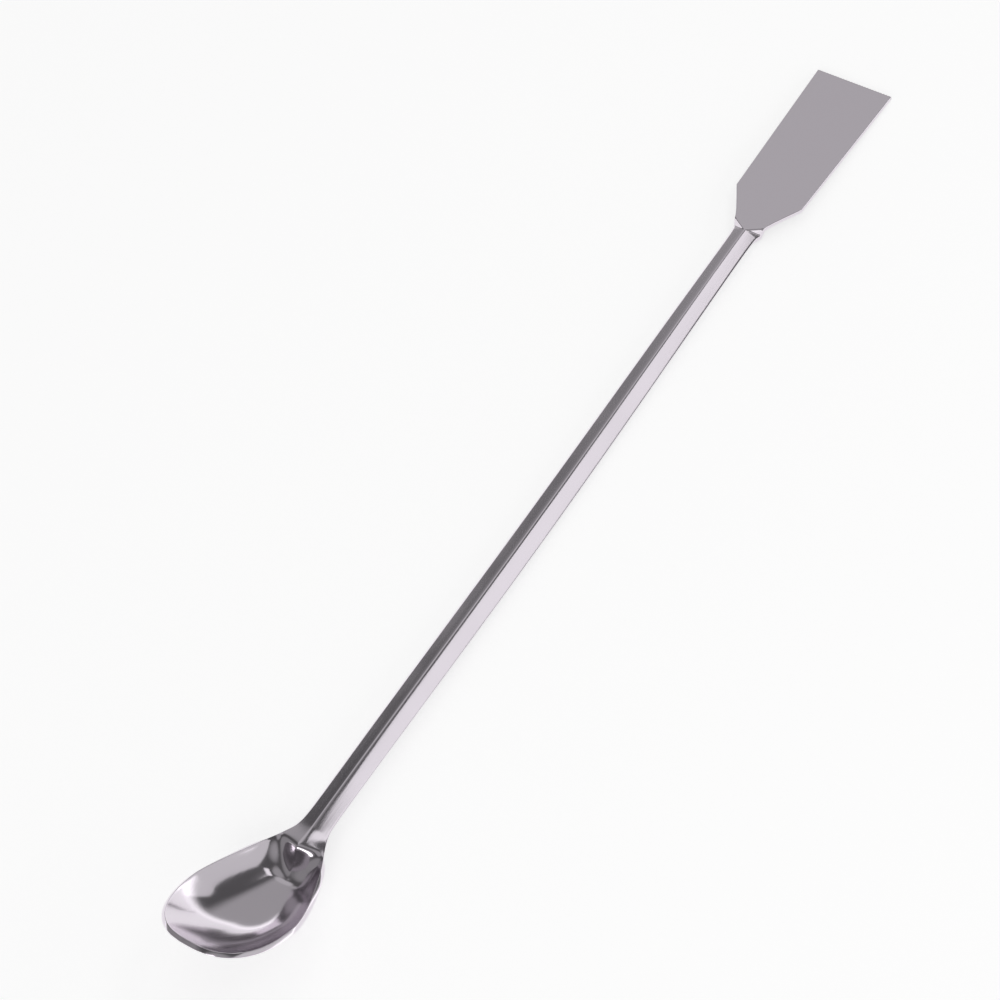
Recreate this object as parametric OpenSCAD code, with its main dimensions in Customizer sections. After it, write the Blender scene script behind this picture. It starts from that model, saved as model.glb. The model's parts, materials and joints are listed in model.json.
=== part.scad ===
// Laboratory spatula pressed from one strip of stainless sheet, in millimetres.
// A spoon bowl at the -X end, a handle folded to a low ridge, and a flat square-ended blade at the +X end.
// It lies as it comes to rest: the bowl's underside and the blade's end on the ground.

/* [Sheet] */
// Thickness of the steel sheet
sheet = 0.8; // [0.6:0.1:1.1]
// How far the tumbled edge swells past the cut line
edge_swell = 0.15; // [0.05:0.05:0.3]

/* [Bowl] */
// Length of the bowl in plan, neck to tip
bowl_length = 29.4; // [27:0.2:34]
// Width across the rim at the widest place
bowl_width = 20; // [16:0.5:24]
// Distance of the widest place from the neck
bowl_widest = 17.2; // [15:0.2:20]
// Depth of the hollow under the rim
bowl_depth = 4.6; // [4:0.2:6]
// How far the rim at the tip stands above the handle's free edges
rim_rise = 12.3; // [9:0.3:13.5]
// How late the rim turns up: 1 is a straight rise
rim_curl = 1.55; // [1.3:0.05:2]
// Fullness of the flanks between the neck and the widest place: 1 is a straight taper
flank_fullness = 1.4; // [1.2:0.05:1.8]
// Squareness of the rounded front: 2 is an ellipse
front_squareness = 2.5; // [2:0.1:3]
// How much the walls steepen towards the rim: 2 is a round hollow
wall_steepness = 2.4; // [2:0.1:3]
// Where the bowl's back wall starts at the rim, from the neck
back_wall_start = 2.8; // [2:0.2:4]
// How much further the ridge runs into the bowl as a nose
nose_reach = 1.6; // [0.6:0.2:3]
// Where the back wall reaches the floor, from the neck
back_wall_end = 9.2; // [8.6:0.2:12]

/* [Handle] */
// Length of the ridge from the bowl's neck to the flat
handle_length = 132; // [90:1:170]
// Flat width of the strip at the bowl's neck
strip_at_bowl = 5.6; // [5:0.2:6.6]
// Flat width of the strip at the blade's neck
strip_at_blade = 5; // [4.6:0.2:6.4]
// Extra flat width half way along
strip_swell = 0.7; // [0:0.1:1.2]
// Slope of each flange away from the ridge
fold_angle = 27; // [22:1:34]
// How far the handle sags half way along
handle_sag = 0.8; // [0:0.1:1]
// Rounding of the ridge line
ridge_round = 0.3; // [0.2:0.05:0.6]

/* [Blade] */
// Length of the straight-edged part
blade_length = 30; // [20:0.5:40]
// Width at the square end
blade_tip_width = 15; // [12:0.5:20]
// Width at the shoulders
blade_root_width = 13.2; // [11:0.2:18]
// Length of the sloping shoulders
shoulder_length = 6.9; // [4:0.1:10]
// Length over which the ridge opens into the flat
fold_length = 1.5; // [1.2:0.1:3]
// How much steeper than the flanges the step from fold to flat is
fold_step = 2.5; // [1:0.5:3]
// Droop of the blade against the handle
blade_droop = 2; // [1.8:0.1:3]

/* [Hidden] */
steel = [0.72, 0.71, 0.73];

// Grid of the pressed sheet
across = 22;
column_bias = 1.15;
neck_blend = 0.8;
crease_blend = 0.08;
edge_steps = [0.25, 0.75];
lean_share = 0.45;
least_cosine = 0.8;

// Key places along the strip, with the bowl's neck at zero
x_fold = handle_length;
x_neck = x_fold + fold_length;
x_root = x_neck + shoulder_length;
x_end = x_root + blade_length;
overrun = 3;

fall = tan(blade_droop);
grade = tan(fold_angle);
function mix(a, b, t) = a + (b - a) * t;
function clamp01(t) = min(1, max(0, t));
function soft_max(a, b, r) = (a + b + sqrt((a - b) * (a - b) + r * r)) / 2;
function soft_ramp(t, r) = (t + sqrt(t * t + r * r)) / 2;

// Half of the flat strip, then its half width in plan once folded
function half_strip(x) =
    let (t = clamp01(x / handle_length))
    (mix(strip_at_bowl, strip_at_blade, t) + strip_swell * 4 * t * (1 - t)) / 2 - edge_swell;
function open_width(x) = max(0, (x - x_fold) / fold_length) * half_strip(x);
function strip_plan(x) =
    let (half = half_strip(x), flat = min(half, open_width(x)))
    flat + (half - flat) * cos(fold_angle);

// Half width in plan of the bowl's rim, p from the neck towards the tip
rim_lean = lean_share * sheet;
bowl_half = bowl_width / 2 - edge_swell - rim_lean;
neck_half = strip_plan(0);
function flank(p) = 1 - pow(max(0, 1 - p / bowl_widest), flank_fullness);
function front(p) = max(0, (p - bowl_widest) / (bowl_length - edge_swell - bowl_widest));
function rim_half(p) = p <= bowl_widest
    ? mix(neck_half, bowl_half, flank(p))
    : bowl_half * pow(1 - pow(front(p), front_squareness), 1 / front_squareness);

// Half width in plan of the blade and its shoulders
root_half = blade_root_width / 2 - edge_swell;
tip_half = blade_tip_width / 2 - edge_swell;
function shoulder_half(x) = x < x_root
    ? mix(half_strip(x), root_half, (x - x_neck) / shoulder_length)
    : mix(root_half, tip_half, (x - x_root) / blade_length);

function half_width(x) =
    x < -bowl_widest / 2 ? rim_half(-x) :
    x < x_fold / 2 ? soft_max(strip_plan(x), rim_half(-x), neck_blend * clamp01(1 + x / bowl_widest * 2)) :
    x < x_root ? soft_max(strip_plan(x), shoulder_half(x), neck_blend * clamp01((x_root - x) / shoulder_length)) :
    shoulder_half(x);

// Height of the ridge line, and of the ridge above the free edges
function spine(x) = -max(0, x_fold - x) * fall - handle_sag * pow(sin(180 * clamp01(x / x_fold)), 2);
function ridge_height(x) = grade * (sqrt(pow(strip_plan(x), 2) + pow(ridge_round, 2)) - ridge_round);

// Roof section of the folded strip, one at the ridge and nothing at the edges
function roof(y, w) =
    let (far = sqrt(w * w + ridge_round * ridge_round))
    (far - sqrt(y * y + ridge_round * ridge_round)) / (far - ridge_round);

// Share of the pressing: nothing on the handle, one on the bowl's floor
function pressed(p, u) =
    let (start = back_wall_start + nose_reach * (1 - abs(u)),
         t = (p - start) / (back_wall_end - start),
         s = min(1, soft_ramp(t, crease_blend)))
    1 - (1 - s) * (1 - s);

// Hollow of the bowl, one on the floor and nothing at the rim
function hollow(p, u, w) =
    let (ring = pow(front(p), front_squareness) + pow(abs(u) * w / bowl_half, front_squareness))
    1 - pow(p <= bowl_widest ? abs(u) : pow(ring, 1 / front_squareness), wall_steepness);

// Upper surface of the sheet: x along the strip, u from -1 to 1 between its edges
function height(x, u, w) =
    let (p = -x, y = u * w)
    x < x_fold / 2
        ? let (s = pressed(p, u),
               rim = spine(x) - ridge_height(max(0, x)) + rim_rise * pow(max(0, p / bowl_length), rim_curl))
          rim + ridge_height(max(0, x)) * roof(y, w) * (1 - s) - bowl_depth * hollow(p, u, w) * s
        : let (off = min(abs(y), fold_step * max(0, abs(y) - open_width(x))))
          spine(x) - grade * (sqrt(off * off + ridge_round * ridge_round) - ridge_round);

// Stations along the strip, closer where the form turns
front_turns = 12;
front_last = 85;
back_steps = 28;
neck_step = 0.8;
neck_steps = 6;
handle_steps = 12;
fold_steps = 16;
fold_margin = 1.2;
shoulder_steps = 4;
stations = concat(
    [for (i = [0 : front_turns - 1])
        -mix(bowl_widest, bowl_length - edge_swell, sin(front_last * (1 - i / front_turns)))],
    [for (i = [0 : back_steps]) -bowl_widest * (1 - i / back_steps)],
    [for (i = [1 : neck_steps]) neck_step * i],
    [for (i = [1 : handle_steps]) mix(neck_step * neck_steps, x_fold - fold_margin, i / handle_steps)],
    [for (i = [1 : fold_steps]) mix(x_fold - fold_margin, x_neck + fold_margin, i / fold_steps)],
    [for (i = [1 : shoulder_steps]) mix(x_neck + fold_margin, x_root, i / shoulder_steps)],
    [x_end + overrun]);
rows = len(stations);

columns = [for (j = [0 : across])
    let (t = 2 * j / across - 1)
    sign(t) * pow(abs(t), column_bias)];

upper = [for (x = stations)
    let (w = half_width(x))
    [for (u = columns) [x, u * w, height(x, u, w)]]];

// Square to the sheet, taken over a few columns so that the ridge's underside stays a clean fold;
// from the fold on the thickness is taken straight down
function unit(v) = v / norm(v);
function row_step(i, j) = upper[min(rows - 1, i + 1)][j] - upper[max(0, i - 1)][j];
function column_step(i, j, n) = upper[i][min(across, j + n)] - upper[i][max(0, j - n)];
function square_to(i, j, n) = unit(cross(row_step(i, j), column_step(i, j, n)));
column_smoothing = 4;
lower = [for (i = [0 : rows - 1]) [for (j = [0 : across])
    let (flat = clamp01((stations[i] - x_fold + fold_margin) / fold_margin),
         along = unit(mix(square_to(i, j, column_smoothing), [0, 0, 1], flat)),
         true_normal = square_to(i, j, 1))
    upper[i][j] - along * sheet / max(least_cosine, along * true_normal)]];

// The edge, walked once round the sheet
walk = concat(
    [for (i = [rows - 1 : -1 : 1]) [i, 0]],
    [for (j = [0 : across - 1]) [0, j]],
    [for (i = [0 : rows - 2]) [i, across]],
    [for (j = [across : -1 : 1]) [rows - 1, j]]);
round_trip = len(walk);
function at(grid, k) = let (c = walk[(k + round_trip) % round_trip]) grid[c[0]][c[1]];
function edge_point(k, step) =
    let (top = at(upper, k), bottom = at(lower, k),
         along = at(upper, k + 1) - at(upper, k - 1),
         outward = unit(cross(along, top - bottom)))
    mix(top, bottom, step) + outward * edge_swell;

// Points and faces of the closed skin
grid_size = rows * (across + 1);
strips = len(edge_steps);
skin_points = concat(
    [for (row = upper) for (point = row) point],
    [for (row = lower) for (point = row) point],
    [for (s = [0 : strips - 1]) for (k = [0 : round_trip - 1]) edge_point(k, edge_steps[s])]);

function cell(i, j) = i * (across + 1) + j;
function edge_index(s, k) =
    let (m = k % round_trip, c = walk[m])
    s == 0 ? cell(c[0], c[1]) :
    s == strips + 1 ? grid_size + cell(c[0], c[1]) :
    2 * grid_size + (s - 1) * round_trip + m;

skin_faces = concat(
    [for (i = [0 : rows - 2]) for (j = [0 : across - 1])
        let (a = cell(i, j), b = cell(i + 1, j), c = cell(i + 1, j + 1), d = cell(i, j + 1))
        each [[a, c, b], [a, d, c]]],
    [for (i = [0 : rows - 2]) for (j = [0 : across - 1])
        let (a = cell(i, j), b = cell(i + 1, j), c = cell(i + 1, j + 1), d = cell(i, j + 1))
        each [[grid_size + a, grid_size + b, grid_size + c], [grid_size + a, grid_size + c, grid_size + d]]],
    [for (s = [0 : strips]) for (k = [0 : round_trip - 1])
        let (a = edge_index(s, k), b = edge_index(s, k + 1), c = edge_index(s + 1, k + 1), d = edge_index(s + 1, k))
        each [[a, c, b], [a, d, c]]]);

// How it comes to rest: the line under the strip that holds it up on both sides of its middle
lowest = concat(
    [for (row = lower) if (row[0][0] < x_end) [row[0][0], min([for (point = row) point[2]])]],
    [[x_end, -sheet]]);
x_middle = (x_end - bowl_length) / 2;
under = [for (a = lowest) if (a[0] < x_middle) for (b = lowest) if (b[0] > x_middle)
    let (slope = (b[1] - a[1]) / (b[0] - a[0]))
    [a[1] + slope * (x_middle - a[0]), slope]];
support = min([for (line = under) line[0]]);
rest_angle = atan([for (line = under) if (line[0] == support) line[1]][0]);
function settled(point) = [
    point[0] * cos(rest_angle) + point[2] * sin(rest_angle),
    point[2] * cos(rest_angle) - point[0] * sin(rest_angle)];
kept = concat([for (point = skin_points) if (point[0] < x_end) settled(point)],
    [settled([x_end, 0, 0]), settled([x_end, 0, -sheet])]);
x_low = min([for (point = kept) point[0]]);
x_high = max([for (point = kept) point[0]]);
z_low = min([for (point = kept) point[1]]);

// The pressed sheet, with its blade sheared square
module spatula() {
    color(steel)
    translate([-(x_low + x_high) / 2, 0, -z_low])
    rotate([0, rest_angle, 0])
    difference() {
        polyhedron(points = skin_points, faces = skin_faces, convexity = 6);
        translate([x_end, -blade_tip_width, -blade_tip_width])
            cube([2 * overrun, 2 * blade_tip_width, 2 * blade_tip_width]);
    }
}

spatula();
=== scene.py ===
import json
import math

import bmesh
import bpy
from mathutils import Euler, Matrix, Vector


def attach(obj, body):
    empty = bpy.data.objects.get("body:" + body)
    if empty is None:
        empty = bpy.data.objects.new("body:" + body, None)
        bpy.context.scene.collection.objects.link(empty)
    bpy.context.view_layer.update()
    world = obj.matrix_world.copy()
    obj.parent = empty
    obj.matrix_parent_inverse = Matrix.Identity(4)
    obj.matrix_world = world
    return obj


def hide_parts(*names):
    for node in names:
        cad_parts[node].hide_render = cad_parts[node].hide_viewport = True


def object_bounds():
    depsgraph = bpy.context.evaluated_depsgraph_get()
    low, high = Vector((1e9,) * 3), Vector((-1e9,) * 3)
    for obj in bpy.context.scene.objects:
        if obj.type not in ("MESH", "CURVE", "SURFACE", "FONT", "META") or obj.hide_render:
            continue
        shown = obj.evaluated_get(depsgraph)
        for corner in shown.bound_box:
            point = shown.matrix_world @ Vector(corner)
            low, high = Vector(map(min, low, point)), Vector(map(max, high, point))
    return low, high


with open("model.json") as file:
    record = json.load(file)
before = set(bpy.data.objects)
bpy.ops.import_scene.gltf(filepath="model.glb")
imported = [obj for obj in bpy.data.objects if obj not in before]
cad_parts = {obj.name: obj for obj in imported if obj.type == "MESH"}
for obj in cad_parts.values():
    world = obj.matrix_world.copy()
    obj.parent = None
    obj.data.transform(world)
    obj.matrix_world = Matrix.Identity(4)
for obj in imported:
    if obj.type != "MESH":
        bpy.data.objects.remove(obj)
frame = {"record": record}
cad_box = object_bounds()

# Sizes of the pressed sheet in millimetres, the same as the part's
SHEET = 0.8
BOWL_LENGTH = 29.4
BOWL_WIDTH = 20.0
BOWL_WIDEST = 17.2
BOWL_DEPTH = 4.6
RIM_RISE = 12.3
RIM_CURL = 1.55
FLANK_FULLNESS = 1.4
FRONT_SQUARENESS = 2.5
WALL_STEEPNESS = 2.4
BACK_WALL_START = 2.8
NOSE_REACH = 1.6
BACK_WALL_END = 9.2
HANDLE_LENGTH = 132.0
STRIP_AT_BOWL = 5.6
STRIP_AT_BLADE = 5.0
STRIP_SWELL = 0.7
FOLD_ANGLE = math.radians(27)
HANDLE_SAG = 0.8
RIDGE_ROUND = 0.3
BLADE_LENGTH = 30.0
BLADE_TIP_WIDTH = 15.0
BLADE_ROOT_WIDTH = 13.2
SHOULDER_LENGTH = 6.9
FOLD_LENGTH = 1.5
FOLD_STEP = 2.5
FOLD_MARGIN = 1.2
BLADE_DROOP = math.radians(2)
NECK_BLEND = 0.8
CREASE_BLEND = 0.08
LEAST_COSINE = 0.8
RIM_LEAN = 0.45 * SHEET

# Reach of the slopes: millimetres along the strip, and a share of its half width across
BROAD_REACH = (0.6, 0.36)
CLOSE_REACH = (0.1, 0.03)

# The finer mesh: columns across, a narrow band along the edge, and the tumbled edge's rounding
COLUMNS = 72
EDGE_BAND = 0.34
EDGE_ROUND = 0.28
EDGE_STEPS = 4
FOLD_RUN_OUT = 1.6

X_NECK = HANDLE_LENGTH + FOLD_LENGTH
X_ROOT = X_NECK + SHOULDER_LENGTH
X_END = X_ROOT + BLADE_LENGTH
GRADE = math.tan(FOLD_ANGLE)
BOWL_HALF = BOWL_WIDTH / 2 - RIM_LEAN
ROOT_HALF = BLADE_ROOT_WIDTH / 2
TIP_HALF = BLADE_TIP_WIDTH / 2


def mix(a, b, t):
    return a + (b - a) * t


def clamp01(t):
    return max(0.0, min(1.0, t))


def soft_max(a, b, r):
    return (a + b + math.hypot(a - b, r)) / 2


# Half widths in plan
def half_strip(x):
    t = clamp01(x / HANDLE_LENGTH)
    return (mix(STRIP_AT_BOWL, STRIP_AT_BLADE, t) + STRIP_SWELL * 4 * t * (1 - t)) / 2


def open_width(x):
    return max(0.0, (x - HANDLE_LENGTH) / FOLD_LENGTH) * half_strip(x)


def strip_plan(x):
    half = half_strip(x)
    flat = min(half, open_width(x))
    return flat + (half - flat) * math.cos(FOLD_ANGLE)


def front(p):
    return max(0.0, (p - BOWL_WIDEST) / (BOWL_LENGTH - BOWL_WIDEST))


def rim_half(p):
    if p <= BOWL_WIDEST:
        flank = 1 - max(0.0, 1 - p / BOWL_WIDEST) ** FLANK_FULLNESS
        return mix(strip_plan(0), BOWL_HALF, flank)
    return BOWL_HALF * (1 - front(p) ** FRONT_SQUARENESS) ** (1 / FRONT_SQUARENESS)


def shoulder_half(x):
    if x < X_ROOT:
        return mix(half_strip(x), ROOT_HALF, (x - X_NECK) / SHOULDER_LENGTH)
    return mix(ROOT_HALF, TIP_HALF, (x - X_ROOT) / BLADE_LENGTH)


def half_width(x):
    if x < -BOWL_WIDEST / 2:
        return rim_half(-x)
    if x < HANDLE_LENGTH / 2:
        blend = NECK_BLEND * clamp01(1 + x / BOWL_WIDEST * 2)
        return soft_max(strip_plan(x), rim_half(-x), blend)
    if x < X_ROOT:
        blend = NECK_BLEND * clamp01((X_ROOT - x) / SHOULDER_LENGTH)
        return soft_max(strip_plan(x), shoulder_half(x), blend)
    return shoulder_half(x)


# Upper skin of the sheet: x along the strip, u from -1 to 1 between its edges
def spine(x):
    sag = HANDLE_SAG * math.sin(math.pi * clamp01(x / HANDLE_LENGTH)) ** 2
    return -max(0.0, HANDLE_LENGTH - x) * math.tan(BLADE_DROOP) - sag


def ridge_height(x):
    return GRADE * (math.hypot(strip_plan(x), RIDGE_ROUND) - RIDGE_ROUND)


def pressed(p, u):
    start = BACK_WALL_START + NOSE_REACH * (1 - abs(u))
    t = (p - start) / (BACK_WALL_END - start)
    s = min(1.0, (t + math.hypot(t, CREASE_BLEND)) / 2)
    return 1 - (1 - s) ** 2


def hollow(p, u, w):
    if p <= BOWL_WIDEST:
        return 1 - abs(u) ** WALL_STEEPNESS
    ring = front(p) ** FRONT_SQUARENESS + (abs(u) * w / BOWL_HALF) ** FRONT_SQUARENESS
    return 1 - ring ** (WALL_STEEPNESS / FRONT_SQUARENESS)


def height(x, u, w):
    y = abs(u) * w
    if x < HANDLE_LENGTH / 2:
        far = math.hypot(w, RIDGE_ROUND)
        roof = (far - math.hypot(y, RIDGE_ROUND)) / (far - RIDGE_ROUND)
        share = pressed(-x, u)
        ridge = ridge_height(max(0.0, x))
        rim = spine(x) - ridge + RIM_RISE * max(0.0, -x / BOWL_LENGTH) ** RIM_CURL
        return rim + ridge * roof * (1 - share) - BOWL_DEPTH * hollow(-x, u, w) * share
    off = min(y, FOLD_STEP * max(0.0, y - open_width(x)))
    return spine(x) - GRADE * (math.hypot(off, RIDGE_ROUND) - RIDGE_ROUND)


def upper(x, u):
    w = half_width(x)
    return Vector((x, u * w, height(x, u, w)))


def square_to(x, u, along, across):
    """Direction square to the upper skin, taken over a length along it and a share of its width."""
    if x < -BOWL_WIDEST:
        # On the rounded front both slopes are taken in plan, where the skin runs on past its rim
        y = u * half_width(x)
        dip = height(x - along, y / BOWL_HALF, BOWL_HALF) - height(x + along, y / BOWL_HALF, BOWL_HALF)
        one_side = height(x, (y - along) / BOWL_HALF, BOWL_HALF)
        other_side = height(x, (y + along) / BOWL_HALF, BOWL_HALF)
        return Vector((dip, one_side - other_side, 2 * along)).normalized()
    run = upper(min(X_END, x + along), u) - upper(x - along, u)
    span = upper(x, min(1.0, u + across)) - upper(x, max(-1.0, u - across))
    return run.cross(span).normalized()


def lower(x, u):
    """Under skin: a sheet's thickness away, and straight down from the fold on."""
    flat = clamp01((x - HANDLE_LENGTH + FOLD_MARGIN) / FOLD_MARGIN)
    lean = square_to(x, u, *BROAD_REACH).lerp(Vector((0, 0, 1)), flat).normalized()
    true = square_to(x, u, *CLOSE_REACH)
    return upper(x, u) - lean * SHEET / max(LEAST_COSINE, lean.dot(true))


def stations():
    turns = [85, 76] + [72 - 2.4 * k for k in range(31)]
    places = [-mix(BOWL_WIDEST, BOWL_LENGTH, math.sin(math.radians(t))) for t in turns]
    runs = [
        (-BOWL_WIDEST, 0, 84),
        (0, 6, 20),
        (6, HANDLE_LENGTH - FOLD_MARGIN, 60),
        (HANDLE_LENGTH - FOLD_MARGIN, X_NECK + FOLD_RUN_OUT, 58),
        (X_NECK + FOLD_RUN_OUT, X_ROOT, 12),
        (X_ROOT, X_END - EDGE_BAND, 24),
        (X_END - EDGE_BAND, X_END, 1),
    ]
    for start, end, steps in runs:
        places += [mix(start, end, (k + 1) / steps) for k in range(steps)]
    return places


PLACES = stations()


def between_edges(x, column):
    """Place of a column across the sheet: the outermost ones keep the edge band."""
    if column in (0, COLUMNS):
        return 2.0 * column / COLUMNS - 1
    return (1 - EDGE_BAND / half_width(x)) * mix(-1, 1, (column - 1) / (COLUMNS - 2))


def spatula_mesh():
    bm = bmesh.new()
    rows = len(PLACES) - 1
    bmesh.ops.create_grid(bm, x_segments=rows, y_segments=COLUMNS, size=1)
    # The blank as cut: each vertex's place along and across it
    blank = {}
    for v in bm.verts:
        x = PLACES[round((v.co.x + 1) / 2 * rows)]
        blank[v] = (x, between_edges(x, round((v.co.y + 1) / 2 * COLUMNS)))
    under = bmesh.ops.duplicate(bm, geom=bm.verts[:] + bm.edges[:] + bm.faces[:])
    bmesh.ops.reverse_faces(bm, faces=[f for f in under["geom"] if isinstance(f, bmesh.types.BMFace)])
    for v, (x, u) in blank.items():
        v.co = upper(x, u)
        under["vert_map"][v].co = lower(x, u)
    # The cut edge, then its tumbled rounding
    rim = [e for e in bm.edges if e.is_boundary]
    bmesh.ops.bridge_loops(bm, edges=rim)
    bmesh.ops.bevel(bm, geom=rim, offset=EDGE_ROUND, offset_type="OFFSET", segments=EDGE_STEPS, profile=0.5,
                    affect="EDGES", material=-1, clamp_overlap=True, loop_slide=True)
    # Laid down on the record's seat under the blade, then drawn in to the part's box
    seat = frame["record"]["mounts"][0]
    tilt = Matrix.Rotation(math.asin(-seat["axis"][0]), 4, "Y")
    middle = Matrix.Translation((-(X_ROOT + X_END) / 2, 0, SHEET))
    bm.transform(Matrix.Translation(seat["pos_m"]) @ Matrix.Scale(0.001, 4) @ tilt @ middle)
    for axis in range(3):
        low = min(v.co[axis] for v in bm.verts)
        high = max(v.co[axis] for v in bm.verts)
        room = cad_box[1][axis] - cad_box[0][axis]
        draw_in = min(1.0, room / (high - low))
        start = max(cad_box[0][axis], min(low, cad_box[1][axis] - (high - low) * draw_in))
        for v in bm.verts:
            v.co[axis] = (v.co[axis] - low) * draw_in + start
    bmesh.ops.recalc_face_normals(bm, faces=bm.faces)
    for face in bm.faces:
        face.smooth = True
    mesh = bpy.data.meshes.new("spatula")
    bm.to_mesh(mesh)
    bm.free()
    return mesh


# Colours are written as sRGB hex and turned to linear here
def linear(hex_colour):
    parts = [int(hex_colour[k:k + 2], 16) / 255 for k in (1, 3, 5)]
    return [c / 12.92 if c <= 0.04045 else ((c + 0.055) / 1.055) ** 2.4 for c in parts] + [1.0]


def add(tree, kind, settings=(), inputs=(), links=()):
    """A node with its settings, its constant inputs, and links into it as (input, node, output)."""
    made = tree.nodes.new(kind)
    for name, value in settings:
        setattr(made, name, value)
    for name, value in inputs:
        made.inputs[name].default_value = value
    for name, source, output in links:
        tree.links.new(source.outputs[output], made.inputs[name])
    return made


def polished_stainless_steel():
    """Bright tumbled steel: clear reflections, softened by faint polishing lines and handling haze."""
    mat = bpy.data.materials.new("polished stainless steel")
    mat.use_nodes = True
    tree = mat.node_tree
    shader = tree.nodes["Principled BSDF"]
    shader.inputs["Metallic"].default_value = 1.0
    shader.inputs["Base Color"].default_value = linear("#E5DEE6")
    place = add(tree, "ShaderNodeTexCoord")
    # Haze left by tumbling, in patches of about a centimetre
    haze = add(tree, "ShaderNodeTexNoise", inputs=[("Scale", 1 / 0.011), ("Detail", 3.0)],
               links=[("Vector", place, "Object")])
    gloss = add(tree, "ShaderNodeMapRange",
                inputs=[("From Min", 0.3), ("From Max", 0.7), ("To Min", 0.10), ("To Max", 0.15)],
                links=[("Value", haze, "Fac")])
    tree.links.new(gloss.outputs["Result"], shader.inputs["Roughness"])
    # Polishing lines run along the strip, 25 mm long and a third of a millimetre apart
    stretch = add(tree, "ShaderNodeMapping", inputs=[("Scale", (1 / 0.025, 1 / 0.00033, 1 / 0.00033))],
                  links=[("Vector", place, "Object")])
    lines = add(tree, "ShaderNodeTexNoise", inputs=[("Scale", 1.0), ("Detail", 2.0)],
                links=[("Vector", stretch, "Vector")])
    relief = add(tree, "ShaderNodeBump", inputs=[("Strength", 0.06), ("Distance", 0.00005)],
                 links=[("Height", lines, "Fac")])
    tree.links.new(relief.outputs["Normal"], shader.inputs["Normal"])
    return mat


spatula = bpy.data.objects.new("pressed_spatula", spatula_mesh())
bpy.context.scene.collection.objects.link(spatula)
spatula.data.materials.append(polished_stainless_steel())
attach(spatula, "root")
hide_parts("spatula")


# Floor: its lift to white, its half size and its drop below the steel, in metres
PAPER_LIFT = 0.69
FLOOR_HALF = 2.0
FLOOR_DROP = 0.0001


def white_paper():
    """Pale floor, lifted to white for the eye and in the metal, with the object's shadow kept."""
    mat = bpy.data.materials.new("white paper sweep")
    mat.use_nodes = True
    tree = mat.node_tree
    tree.nodes.clear()
    ray = add(tree, "ShaderNodeLightPath")
    seen = add(tree, "ShaderNodeMath", [("operation", "MAXIMUM")],
               links=[(0, ray, "Is Camera Ray"), (1, ray, "Is Glossy Ray")])
    through = add(tree, "ShaderNodeMath", [("operation", "MAXIMUM")],
                  links=[(0, seen, "Value"), (1, ray, "Is Transmission Ray")])
    # No lift for light that has already lit the paper, so the shadow under the steel stays
    first = add(tree, "ShaderNodeMath", [("operation", "LESS_THAN")], [(1, 0.5)],
                [(0, ray, "Diffuse Depth")])
    shown = add(tree, "ShaderNodeMath", [("operation", "MULTIPLY")],
                links=[(0, through, "Value"), (1, first, "Value")])
    level = add(tree, "ShaderNodeMath", [("operation", "MULTIPLY")], [(1, PAPER_LIFT)],
                [(0, shown, "Value")])
    paper = add(tree, "ShaderNodeBsdfDiffuse", inputs=[("Color", linear("#EDEDED"))])
    lift = add(tree, "ShaderNodeEmission", links=[("Strength", level, "Value")])
    both = add(tree, "ShaderNodeAddShader", links=[(0, paper, "BSDF"), (1, lift, "Emission")])
    add(tree, "ShaderNodeOutputMaterial", links=[("Surface", both, "Shader")])
    return mat


def floor():
    bm = bmesh.new()
    bmesh.ops.create_grid(bm, x_segments=1, y_segments=1, size=FLOOR_HALF)
    mesh = bpy.data.meshes.new("floor")
    bm.to_mesh(mesh)
    bm.free()
    made = bpy.data.objects.new("floor", mesh)
    bpy.context.scene.collection.objects.link(made)
    made.location.z = -FLOOR_DROP
    made.data.materials.append(white_paper())


floor()


# Studio: soft boxes at the right and before the bowl, grey panels, a pale sweep low down, the rest dim
def aim(turn, rise):
    turn, rise = math.radians(turn), math.radians(rise)
    return (math.cos(rise) * math.cos(turn), math.cos(rise) * math.sin(turn), math.sin(rise))


# The dim room, the sweep's strength and the height where it ends, and the grey panels on the walls:
# each panel's turn and rise in degrees, the cosines of its soft edge and its core, and its strength
REST_OF_ROOM = 0.09
SWEEP_LEVEL = 1.4
SWEEP_TOP = 0.16
PANELS = [
    (34, 50, 0.90, 0.97, 0.48),
    (30, 17, 0.78, 0.92, 0.37),
    (130, 20, 0.72, 0.93, 0.26),
    (215, 26, 0.80, 0.95, 0.33),
    (0, 90, 0.88, 0.97, 0.33),
]


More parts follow.
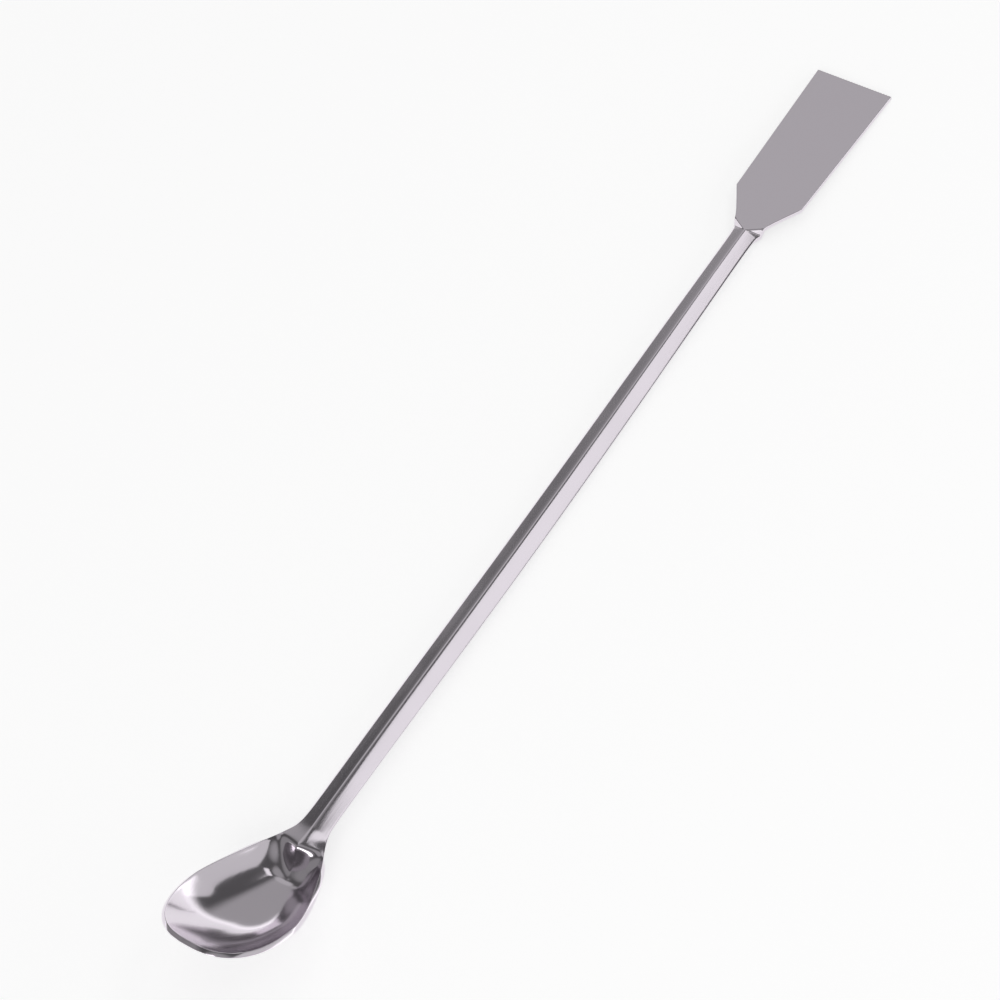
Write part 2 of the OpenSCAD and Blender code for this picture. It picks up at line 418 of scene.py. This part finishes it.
def studio():
    world = bpy.data.worlds.new("studio")
    bpy.context.scene.world = world
    world.use_nodes = True
    tree = world.node_tree
    back = tree.nodes["Background"]
    back.inputs["Color"].default_value = linear("#FFFFFF")
    place = add(tree, "ShaderNodeTexCoord")
    split = add(tree, "ShaderNodeSeparateXYZ", links=[("Vector", place, "Generated")])
    level = add(tree, "ShaderNodeMapRange", [("interpolation_type", "SMOOTHSTEP")],
                [("From Min", 0.0), ("From Max", SWEEP_TOP), ("To Min", SWEEP_LEVEL), ("To Max", 0.0)],
                [("Value", split, "Z")])
    for turn, rise, edge, core, strength in PANELS:
        facing = add(tree, "ShaderNodeVectorMath", [("operation", "DOT_PRODUCT")],
                     [(1, aim(turn, rise))], [(0, place, "Generated")])
        panel = add(tree, "ShaderNodeMapRange", [("interpolation_type", "SMOOTHSTEP")],
                    [("From Min", edge), ("From Max", core),
                     ("To Min", REST_OF_ROOM), ("To Max", strength)],
                    [("Value", facing, "Value")])
        level = add(tree, "ShaderNodeMath", [("operation", "MAXIMUM")],
                    links=[(0, level, 0), (1, panel, "Result")])
    tree.links.new(level.outputs["Value"], back.inputs["Strength"])


def soft_lamp(name, turn, rise, distance, width, tall, watts):
    data = bpy.data.lights.new(name, "AREA")
    data.shape = "RECTANGLE"
    data.size = width
    data.size_y = tall
    data.energy = watts
    made = bpy.data.objects.new(name, data)
    made.location = Vector(aim(turn, rise)) * distance
    made.rotation_euler = (-made.location).to_track_quat("-Z", "Y").to_euler()
    bpy.context.scene.collection.objects.link(made)


# Each soft box: turn and rise in degrees, distance, width and height in metres, and watts
soft_lamp("low_box", -79, 15, 1.0, 2.9, 0.6, 2.9)
soft_lamp("high_box", -43, 53, 1.0, 0.62, 0.27, 0.46)
soft_lamp("small_box", 194, 29, 1.0, 0.32, 0.32, 0.64)
studio()

# Camera as fitted to the photograph's outline
eye = bpy.data.cameras.new("camera")
eye.lens = 118.19
eye.sensor_width = 36.0
eye.clip_end = 20.0
camera = bpy.data.objects.new("camera", eye)
camera.location = (-0.22492, -0.20881, 0.44396)
camera.rotation_euler = Euler([math.radians(a) for a in (34.117, 8.166, -57.316)], "XYZ")
bpy.context.scene.collection.objects.link(camera)
bpy.context.scene.camera = camera
bpy.context.scene.view_settings.view_transform = "Standard"
